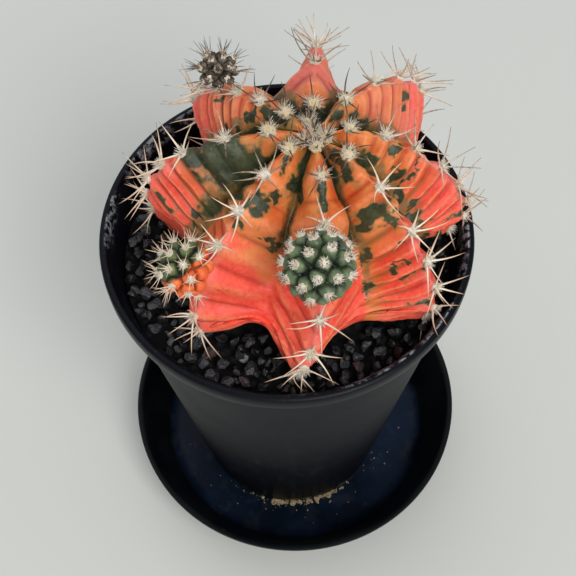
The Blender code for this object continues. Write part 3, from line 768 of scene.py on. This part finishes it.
def strands(name, hairs, sides):
    """One mesh of thin tapered strands; each is (points, foot radius, tip radius, tone)."""
    corners, faces, along, tones = [], [], [], []
    ring_turns = [2.0 * math.pi * k / sides for k in range(sides)]
    base = 0
    for path, foot_radius, tip_radius, tone in hairs:
        count = len(path)
        for index, point in enumerate(path):
            ahead = (path[min(index + 1, count - 1)] - path[max(index - 1, 0)]).normalized()
            aside = ahead.orthogonal().normalized() if index == 0 else aside - ahead * aside.dot(ahead)
            aside.normalize()
            other = ahead.cross(aside)
            share = index / (count - 1)
            radius = foot_radius + (tip_radius - foot_radius) * share**1.3
            for turn in ring_turns:
                corners.append(point + (aside * math.cos(turn) + other * math.sin(turn)) * radius)
            along += [share] * sides
        tones += [tone] * (sides * count)
        for index in range(count - 1):
            low = base + index * sides
            for k in range(sides):
                after = (k + 1) % sides
                faces.append((low + k, low + after, low + sides + after, low + sides + k))
        faces.append(tuple(base + k for k in reversed(range(sides))))
        faces.append(tuple(base + (count - 1) * sides + k for k in range(sides)))
        base += count * sides
    mesh = bpy.data.meshes.new(name)
    mesh.from_pydata([tuple(corner * MM) for corner in corners], [], faces)
    mesh.update()
    piece = bpy.data.objects.new(name, mesh)
    bpy.context.scene.collection.objects.link(piece)
    mark(piece, "along", along)
    mark(piece, "tone", tones)
    for polygon in mesh.polygons:
        polygon.use_smooth = True
    return piece


def curve_out(start, direction, length, sag, pull, count=7):
    """Points of a spine that leaves start along direction and bends towards pull."""
    bend = pull - direction * pull.dot(direction)
    return [
        start + direction * (length * k / (count - 1)) + bend * (sag * length * (k / (count - 1)) ** 2)
        for k in range(count)
    ]


def tuft(centre, up, radius, height, fibres, source):
    """The short curling hairs of one felt pad."""
    aside = up.orthogonal().normalized()
    other = up.cross(aside)
    made = []
    for _ in range(fibres):
        turn, reach = source.uniform(0.0, 6.3), math.sqrt(source.random())
        outwards = aside * math.cos(turn) + other * math.sin(turn)
        foot_point = centre + outwards * radius * 0.75 * reach
        lean = (up * source.uniform(0.5, 1.0) + outwards * source.uniform(0.1, 1.1)).normalized()
        twist = (aside * source.uniform(-1, 1) + other * source.uniform(-1, 1)) * 0.7
        path = curve_out(foot_point, lean, height * source.uniform(0.7, 1.5), 0.5, twist, 4)
        made.append((path, 0.085, 0.03, source.random()))
    return made


def felt_pads(name, pads):
    """One mesh of lumpy felt pads; each is (centre, outward, radius, height), in millimetres."""
    bpy.ops.object.select_all(action="DESELECT")
    bpy.ops.mesh.primitive_ico_sphere_add(subdivisions=3, radius=1.0)
    blank = bpy.context.object
    corners = [v.co.copy() for v in blank.data.vertices]
    shape_faces = [tuple(p.vertices) for p in blank.data.polygons]
    bpy.data.objects.remove(blank)
    every_corner, faces = [], []
    for centre, up, radius, height in pads:
        turn = up.to_track_quat("Z", "Y").to_matrix()
        base = len(every_corner)
        for corner in corners:
            lump = 1.0 + 0.35 * noise.noise(corner * 2.2 + centre) + 0.2 * noise.noise(corner * 5.0 + centre)
            local = Vector((corner.x * radius, corner.y * radius, corner.z * height)) * lump
            every_corner.append(centre + turn @ local)
        faces += [tuple(base + index for index in face) for face in shape_faces]
    mesh = bpy.data.meshes.new(name)
    mesh.from_pydata([tuple(corner * MM) for corner in every_corner], [], faces)
    mesh.update()
    piece = bpy.data.objects.new(name, mesh)
    bpy.context.scene.collection.objects.link(piece)
    for polygon in mesh.polygons:
        polygon.use_smooth = True
    return piece


def crest_place(rib_name, degrees):
    """(point, outward, down along the crest) of a rib's crest, in millimetres."""
    lap_number = float(RIB_NAMES.index(rib_name))
    spots, *_ = body_skin(np.array([degrees - 0.8, degrees, degrees + 0.8]), np.full(3, lap_number))
    down = Vector(spots[2] - spots[0]).normalized()
    away, up, normal_away, normal_up, turn = crest_line(RIBS[rib_name], np.array([float(degrees)]), False)
    outward = Vector(
        (math.cos(turn[0]) * normal_away[0], math.sin(turn[0]) * normal_away[0], normal_up[0])
    )
    outward = (outward - down * outward.dot(down)).normalized()
    return Vector(spots[1]), outward, down


felt_finish = Finish("cushion_cream_felt", Specular_IOR_Level=0.15, Sheen_Weight=0.4, Sheen_Roughness=0.5)
here = felt_finish.place
fuzz = here.grain(0.45, 4.0, 0.7)
patchy = here.grain(2.6, 3.0)
colour = patchy.edge(0.35, 0.65).mix(paint(232, 224, 212), paint(206, 190, 160))
from_heart = (here.part("X") - heart[0] * MM) ** 2.0 + (here.part("Y") - heart[1] * MM) ** 2.0
colour = ((1.0 - from_heart.edge(0.00004, 0.0003)) * 0.75).mix(colour, paint(206, 184, 134))
# Painted shade: the dips of the fuzzy bump are painted a darker brown.
felt_finish.give("Base Color", (fuzz.edge(0.5, 0.3) * 0.5).mix(colour, paint(120, 100, 78)))
felt_finish.give("Roughness", fuzz * 0.2 + 0.8)
felt_finish.relief(fuzz, 0.25)

hair_finish = Finish("cushion_wool_hairs", Specular_IOR_Level=0.2)
hair_tone = hair_finish.mark("tone")
hair_finish.give("Base Color", hair_tone.mix(paint(240, 234, 224), paint(214, 200, 174)))
hair_finish.give("Roughness", hair_tone * 0.1 + 0.75)

spine_finish = Finish("spine_tan_horn", Specular_IOR_Level=0.4)
length_mark, spine_tone = spine_finish.mark("along"), spine_finish.mark("tone")
pale = length_mark.edge(0.0, 0.9).mix(paint(244, 230, 212), paint(218, 188, 156))
pale = length_mark.edge(0.82, 1.0).mix(pale, paint(134, 104, 82))
dark = length_mark.edge(0.1, 0.7).mix(paint(134, 110, 92), paint(58, 46, 44))
bands = spine_finish.place.grain(0.9, 2.0).edge(0.4, 0.7)
spine_colour = (spine_tone + bands * 0.15).edge(0.15, 0.85).mix(pale, dark)
spine_finish.give("Base Color", spine_colour)
spine_finish.give("Roughness", bands * 0.15 + 0.45)

# offset: rib, angle down its crest, sideways shift, how far its middle stands off, radius
OFFSETS = {
    "green": ("front", 46.0, -1.3, 5.5, 8.8),
    "mottled": ("front_left", 60.5, -2.7, 3.8, 7.4),
    "dried": ("back_left", 37.0, -0.5, 6.5, 4.8),
}


def offset_place(name):
    """(middle, outward) of an offset, in millimetres."""
    rib_name, degrees, shift, stand, _ = OFFSETS[name]
    point, outward, down = crest_place(rib_name, degrees)
    aside = outward.cross(down)
    outward = (outward + aside * shift / 12.0).normalized()
    return point + aside * shift + outward * stand, outward


offset_places = {name: offset_place(name) for name in OFFSETS}
cushion_nodes = {
    rib: [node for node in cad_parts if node.rsplit("_", 1)[0] == f"cushion_{rib}"] for rib in RIBS
}
for rib_name, rib in RIBS.items():
    source = random.Random(rib_name)
    pads, hairs, spines = [], [], []
    for index, degrees in enumerate(rib[5]):
        point, outward, down = crest_place(rib_name, degrees)
        near = [(point - place).length < OFFSETS[name][4] + 0.5 for name, (place, _) in offset_places.items()]
        if any(near):
            continue
        if point.z < gravel_top + 0.6:
            continue
        young = max(0.0, 1.0 - degrees / 32.0)
        radius = source.uniform(1.1, 1.45) * (1.0 + 0.45 * young)
        centre = point + outward * 0.25
        pads.append((centre, outward, radius, 0.85 + 0.5 * young))
        hairs += tuft(centre + outward * 0.3, outward, radius * 1.1, 1.2 + 0.7 * young, 70, source)
        aside = outward.cross(down)
        count = source.choice((5, 6, 6, 7)) if young < 0.5 else 5
        start_turn = source.uniform(0.0, 6.3)
        for number in range(count):
            turn = start_turn + 2.0 * math.pi * (number + source.uniform(-0.25, 0.25)) / count
            lean = math.radians(source.uniform(42.0, 72.0))
            flat = down * math.cos(turn) + aside * math.sin(turn)
            direction = (outward * math.cos(lean) + flat * math.sin(lean)).normalized()
            length = source.uniform(7.0, 10.2) * (1.0 - 0.35 * young)
            sag = source.uniform(0.12, 0.42)
            pull = outward * source.uniform(-0.5, 1.0) + down * source.gauss(0.0, 0.7)
            pull += aside * source.gauss(0.0, 0.7)
            path = curve_out(centre + flat * 0.3, direction, length, sag, pull, 9)
            tip = path[-1]
            if math.hypot(tip.x - middle[0], tip.y - middle[1]) > 47.0 and tip.z < rim + 0.5:
                continue
            tone = 0.75 * soft(young * 2.0) + source.uniform(0.0, 0.28)
            if rib_name in ("back", "back_right", "right") and young < 0.4:
                tone += 0.2
            spines.append((path, source.uniform(0.24, 0.33), 0.05, float(tone)))
    nodes = cushion_nodes[rib_name]
    dress(felt_pads(f"cushion_felt_{rib_name}", pads), felt_finish, "wool_and_spines", *nodes)
    dress(strands(f"cushion_wool_{rib_name}", hairs, 3), hair_finish, "wool_and_spines", *nodes)
    dress(strands(f"cushion_spines_{rib_name}", spines, 6), spine_finish, "wool_and_spines", *nodes)

# ---- Growing point ------------------------------------------------------------------------------
# Where the ribs meet, new cushions crowd together, still all wool, with short dark spines.
source = random.Random(5)
pads, hairs, spines = [], [], []
crown_height = float(points[row == 1][:, 2].mean())
# (right, back, lift, radius) of each new cushion, from the plant's axis
NEW_CUSHIONS = ((3.0, -1.2, 1.0, 1.8), (0.2, 0.6, 0.6, 1.5), (-2.2, -2.4, 0.8, 1.3), (-1.0, 3.4, 0.9, 1.6))
for x, y, lift, radius in NEW_CUSHIONS:
    centre = Vector((heart[0] + x, heart[1] + y, crown_height + lift))
    upward = Vector((x * 0.08, y * 0.08, 1.0)).normalized()
    pads.append((centre, upward, radius, 1.2))
    hairs += tuft(centre + upward * 0.5, upward, radius, 1.9, 80, source)
    for number in range(5):
        turn = source.uniform(0.0, 6.3)
        lean = source.uniform(0.35, 0.95)
        direction = Vector((math.cos(turn) * lean, math.sin(turn) * lean, 1.0)).normalized()
        path = curve_out(centre, direction, source.uniform(4.0, 6.5), 0.2, Vector((0, 0, 1)))
        spines.append((path, 0.2, 0.035, source.uniform(0.7, 1.0)))
dress(felt_pads("crown_felt", pads), felt_finish, "wool_and_spines")
dress(strands("crown_wool", hairs, 3), hair_finish, "wool_and_spines")
dress(strands("crown_spines", spines, 6), spine_finish, "wool_and_spines")

# ---- Offsets ------------------------------------------------------------------------------------
# Young plants budding from crest cushions: balls of chunky tubercles, each with its own wool and
# spines. One is dark green, one is green and orange, and one has died and dried up grey brown.


GOLDEN_TURN = 2.39996


def knob_directions(count, lowest):
    """Directions of tubercles in a phyllotactic spiral, from the top down."""
    made = []
    for index in range(count):
        up = 1.0 - (1.0 - lowest) * (index + 0.35) / count
        turn = GOLDEN_TURN * index
        flat = math.sqrt(max(0.0, 1.0 - up * up))
        made.append(Vector((flat * math.cos(turn), flat * math.sin(turn), up)))
    return made


def knobbly_ball(name, place, radius, count, knob, wither=0.0, shade=(0.3, 0.4, 0.87)):
    """A ball of tubercles; gives the piece and each tubercle's (tip, outward).

    The mark "lower" grows from 0 to 1 away from the direction shade.
    """
    middle_point, outward = place
    turn = outward.to_track_quat("Z", "Y").to_matrix()
    bpy.ops.object.select_all(action="DESELECT")
    bpy.ops.mesh.primitive_ico_sphere_add(subdivisions=6, radius=1.0)
    piece = bpy.context.object
    piece.name = name
    knobs = np.array([tuple(k) for k in knob_directions(count, -0.55)])
    corners = np.zeros(len(piece.data.vertices) * 3)
    piece.data.vertices.foreach_get("co", corners)
    corners = corners.reshape(-1, 3)
    corners /= np.linalg.norm(corners, axis=1, keepdims=True)
    spread = math.sqrt(4.0 * 0.78 / count)
    gaps = np.arccos(np.clip(corners @ knobs.T, -1.0, 1.0)) / spread
    near = np.sort(gaps, axis=1)
    dome = np.clip(1.0 - (near[:, 0] / 1.15) ** 2.2, 0.0, 1.0)
    crease = soft((near[:, 1] - near[:, 0]) / 0.42)
    size = radius * (1.0 - knob + knob * (0.45 * dome + 0.55 * crease * (0.4 + 0.6 * dome)))
    jitter = np.array([noise.noise(Vector(c) * 3.1 + middle_point) for c in corners])
    fine = np.array([noise.noise(Vector(c) * 9.0 + middle_point) for c in corners])
    size *= 1.0 + (0.03 + 0.12 * wither) * jitter + (0.01 + 0.08 * wither) * fine
    neck = soft((-corners[:, 2] - 0.35) / 0.6)
    size *= 1.0 - 0.35 * neck
    placed_points = corners * size[:, None] @ np.array(turn).T + np.array(middle_point)
    piece.data.vertices.foreach_set("co", (placed_points * MM).ravel())
    mark(piece, "dome", dome)
    mark(piece, "crease", crease)
    mark(piece, "lower", 0.5 - 0.5 * (corners @ np.array(turn).T) @ np.array(shade))
    mark(piece, "gap", near[:, 0])
    bpy.ops.object.shade_smooth()
    piece.data.update()
    tips = []
    for knob_direction in knobs:
        outwards = (turn @ Vector(knob_direction)).normalized()
        tips.append((middle_point + outwards * radius * (0.97 - 0.03 * wither), outwards))
    return piece, tips


def knob_skin(name, low, high, orange):
    """Skin of an offset: low and high greens, and how much of its under side is orange."""
    finish = Finish(name, Specular_IOR_Level=0.45, Subsurface_Weight=0.08, Subsurface_Scale=0.001)
    here = finish.place
    dome_mark, crease_mark = finish.mark("dome"), finish.mark("crease")
    cloud = here.grain(2.6, 4.0)
    fine = here.grain(0.5, 3.0)
    # The tubercles' domes are painted lighter green and their feet darker, as painted light and shade, over
    # the skin's own cloudy mottling.
    colour = (cloud * 0.7 + dome_mark * 0.45).edge(0.35, 0.95).mix(low, high)
    warm = cloud.mix(paint(226, 66, 40), paint(238, 132, 62))
    where = (finish.mark("lower") + (cloud - 0.5) * 0.3 + orange).edge(0.95, 1.05)
    colour = where.mix(colour, warm)
    # Painted shade: the creases between the tubercles are painted near black.
    colour = ((1.0 - crease_mark) * 0.8).mix(colour, paint(12, 18, 12))
    finish.give("Base Color", (fine.edge(0.62, 0.75) * 0.25).mix(colour, paint(150, 160, 130)))
    finish.give("Roughness", fine * 0.15 + 0.38)
    finish.relief(fine, 0.04)
    return finish


def offset_dressing(name, tips, felt, hair_count, spine_count, length, tone, lean_range, nodes):
    """Felt, wool and spines on the tubercles of an offset; felt is the radius of its pads."""
    source = random.Random(name)
    pads, hairs, spines = [], [], []
    for number, (tip, outwards) in enumerate(tips):
        if number > 0.5 * len(tips) and source.random() < 0.45:
            continue
        pads.append((tip, outwards, felt, felt * 0.55))
        hairs += tuft(tip + outwards * 0.2, outwards, felt, felt * 0.8, hair_count, source)
        aside = outwards.orthogonal().normalized()
        other = outwards.cross(aside)
        for number in range(spine_count):
            turn = 2.0 * math.pi * (number + source.uniform(-0.3, 0.3)) / spine_count
            lean = math.radians(source.uniform(*lean_range))
            flat = aside * math.cos(turn) + other * math.sin(turn)
            direction = outwards * math.cos(lean) + flat * math.sin(lean)
            path = curve_out(tip, direction, source.uniform(0.7, 1.15) * length, 0.15, outwards, 6)
            spines.append((path, 0.13, 0.03, tone + source.uniform(-0.15, 0.15)))
    dress(felt_pads(f"offset_{name}_felt", pads), felt_finish, "wool_and_spines", *nodes)
    dress(strands(f"offset_{name}_wool", hairs, 3), hair_finish, "wool_and_spines", *nodes)
    dress(strands(f"offset_{name}_spines", spines, 5), spine_finish, "wool_and_spines", *nodes)


piece, tips = knobbly_ball("offset_green_knobs", offset_places["green"], 8.9, 34, 0.34)
skin = knob_skin("offset_green_skin", paint(24, 36, 27), paint(106, 124, 86), 0.02)
dress(piece, skin, "green_skin", "offset_green")
offset_dressing("green", tips, 1.1, 60, 4, 2.8, 0.6, (15, 60), ["offset_green"])

piece, tips = knobbly_ball(
    "offset_mottled_knobs", offset_places["mottled"], 7.3, 28, 0.34, shade=(-0.62, 0.45, 0.64)
)
skin = knob_skin("offset_mottled_skin", paint(28, 42, 28), paint(104, 116, 68), 0.6)
dress(piece, skin, "mottled_skin", "offset_mottled")
offset_dressing("mottled", tips, 0.9, 40, 6, 4.4, 0.1, (25, 72), ["offset_mottled"])

piece, tips = knobbly_ball("offset_dried_knobs", offset_places["dried"], 5.0, 20, 0.34, 1.0)
dried = Finish("offset_dried_husk", Specular_IOR_Level=0.2)
here = dried.place
bark = here.grain(1.4, 5.0, 0.7)
colour = bark.edge(0.35, 0.65).mix(paint(38, 34, 30), paint(128, 116, 100))
# Painted shade: the creases between the shrivelled tubercles are painted near black.
dried.give("Base Color", ((1.0 - dried.mark("crease")) * 0.7).mix(colour, paint(16, 15, 13)))
dried.give("Roughness", bark * 0.2 + 0.75)
dried.relief(bark, 0.5)
dress(piece, dried, "dried_skin", "offset_dried")
offset_dressing("dried", tips, 0.8, 20, 5, 4.4, 0.72, (5, 50), ["offset_dried"])

# ---- Crumbs in the saucer -----------------------------------------------------------------------
# Grit and bits of dried crust that washed out through the drain and stuck round the pot's foot.
# A tan crust lies in front and a paler, looser one beside it, with a few grains further out.
crumbs = []
SAUCER_FLOOR = 2.0
CRUMB_REACH = 41.0
# (how many, middle bearing, spread, first distance from the foot, its spread, sizes, tones)
for amount, aim, spread, start, drift, sizes, tones in (
    (34, -1.66, 0.13, 1.5, 0.5, (1.6, 2.8), (1.5, 2.0)),
    (70, -1.22, 0.14, 1.3, 0.8, (0.7, 1.9), (1.2, 2.0)),
    (60, -1.5, 0.4, 1.3, 0.9, (0.4, 1.0), (0.4, 1.6)),
    (26, -1.3, 0.7, 2.0, 6.0, (0.4, 0.9), (0.4, 1.8)),
):
    for _ in range(amount):
        bearing = chooser.gauss(aim, spread)
        radius = wall(foot) + start + abs(chooser.gauss(0.0, drift))
        size = chooser.uniform(*sizes)
        x, y = middle[0] + radius * math.cos(bearing), middle[1] + radius * math.sin(bearing)
        if math.hypot(x, y) < CRUMB_REACH:
            tone, rust = chooser.uniform(*tones), chooser.uniform(0.0, 1.0)
            crumbs.append((x, y, SAUCER_FLOOR + 0.2 * size, size, tone, rust))
crumb_piece = stones("saucer_crumbs", crumbs)
crumb_finish = Finish("saucer_crumbs_crust", Specular_IOR_Level=0.2)
here = crumb_finish.place
tone = crumb_finish.mark("tone")
colour = tone.edge(0.6, 1.8).mix(paint(40, 36, 30), paint(156, 140, 108))
crumb_finish.give("Base Color", here.grain(0.5, 3.0).edge(0.4, 0.7).mix(colour, paint(120, 108, 84)))
crumb_finish.give("Roughness", here.grain(0.7) * 0.2 + 0.75)
crumb_finish.relief(here.grain(0.4, 3.0), 0.15)
dress(crumb_piece, crumb_finish, "black_gravel")

# ---- Floor, light and camera --------------------------------------------------------------------
# A plain pale floor, a big soft window light from the front right, a weaker one from the back left
# and an even sky. The camera looks down on the plant from in front.
bpy.ops.object.select_all(action="DESELECT")
bpy.ops.mesh.primitive_plane_add(size=6.0, location=(0.0, 0.0, -0.0002))
floor = bpy.context.object
floor.name = "floor"
floor_finish = Finish("floor_pale", Roughness=0.75, Specular_IOR_Level=0.2)
tint = floor_finish.place.grain(220.0, 2.0).mix(paint(197, 197, 192), paint(202, 203, 198))
floor_finish.give("Base Color", tint)
floor.data.materials.append(floor_finish.material)

sky = bpy.data.worlds.new("sky")
bpy.context.scene.world = sky
sky.use_nodes = True
sky.node_tree.nodes["Background"].inputs["Color"].default_value = (0.93, 0.97, 1.0, 1.0)
sky.node_tree.nodes["Background"].inputs["Strength"].default_value = 0.6


def lamp(name, place, size, power, colour):
    """A soft square light that faces the pot's rim."""
    light = bpy.data.lights.new(name, "AREA")
    light.size = size
    light.energy = power
    light.color = colour
    stand = bpy.data.objects.new(name, light)
    bpy.context.scene.collection.objects.link(stand)
    stand.location = place
    aim = Vector((pot_middle[0], pot_middle[1], rim * MM)) - Vector(place)
    stand.rotation_euler = aim.to_track_quat("-Z", "Y").to_euler()


lamp("window", (0.4, -0.78, 1.15), 0.6, 12.0, (1.0, 0.99, 0.97))
lamp("room", (-0.3, 0.5, 1.0), 1.0, 2.6, (0.97, 0.985, 1.0))

VIEW_TILT = math.radians(60.46)
VIEW_ROLL = math.radians(-1.345)
VIEW_DISTANCE = 0.30396
VIEW_LENS = 73.41
target = Vector((pot_middle[0], pot_middle[1], rim * MM)) + Vector((0.00004, -0.01796, 0.0))
back = Vector((0.0, -math.cos(VIEW_TILT), math.sin(VIEW_TILT)))
level = Vector((1.0, 0.0, 0.0))
rise = back.cross(level)
across_view = level * math.cos(VIEW_ROLL) + rise * math.sin(VIEW_ROLL)
up_view = rise * math.cos(VIEW_ROLL) - level * math.sin(VIEW_ROLL)
lens = bpy.data.cameras.new("camera")
lens.sensor_width = 36.0
lens.lens = VIEW_LENS
lens.clip_start = 0.01
camera = bpy.data.objects.new("camera", lens)
bpy.context.scene.collection.objects.link(camera)
spot = target + back * VIEW_DISTANCE
rows = [(*axes, place) for axes, place in zip(zip(across_view, up_view, back), spot)]
camera.matrix_world = Matrix(rows + [(0, 0, 0, 1)])
bpy.context.scene.camera = camera
bpy.context.scene.view_settings.view_transform = "Standard"
